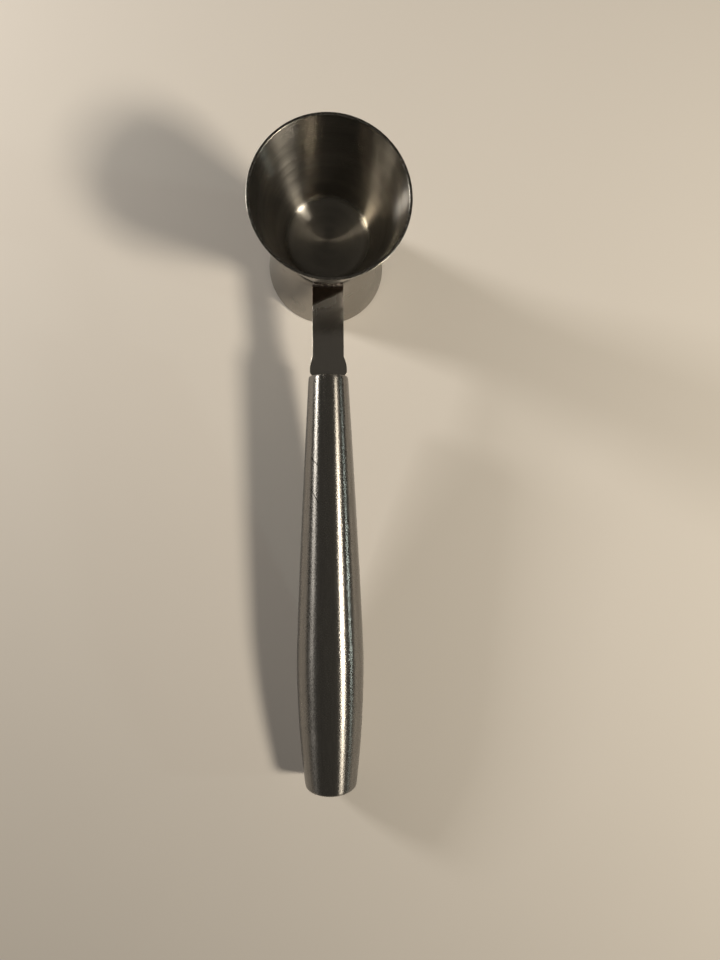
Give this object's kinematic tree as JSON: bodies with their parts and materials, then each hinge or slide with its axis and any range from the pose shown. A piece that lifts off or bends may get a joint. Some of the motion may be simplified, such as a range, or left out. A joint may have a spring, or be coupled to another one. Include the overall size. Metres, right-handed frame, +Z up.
{
  "type": "double jigger",
  "caption": "Hourglass steel jigger: conical measuring cups joined base to base, carried by a flat bar and a hollow swelling handle, for measuring small amounts of drink.",
  "frame": {"origin": "on the table, under the middle of the bounding box, as the jigger lies at rest on its lower rim and the handle's end", "axes": "+Z up from the table, +Y from the handle towards the cups, +X to the right with the handle towards the viewer"},
  "size_m": [0.0436, 0.1942, 0.0637],
  "materials": {
    "spun_steel": "satin, fine rings from spinning inside, polished outside",
    "bar_steel": "polished",
    "handle_steel": "satin, brushed round the handle",
    "weld_steel": "dressed weld"
  },
  "bodies": {
    "root": {"upper_cup": "spun_steel", "lower_cup": "spun_steel", "waist_weld": "weld_steel", "handle_bar": "bar_steel", "neck_weld_top": "weld_steel", "neck_weld_under": "weld_steel", "handle_shell": "handle_steel", "handle_plug": "weld_steel"}
  },
  "joints": []
}
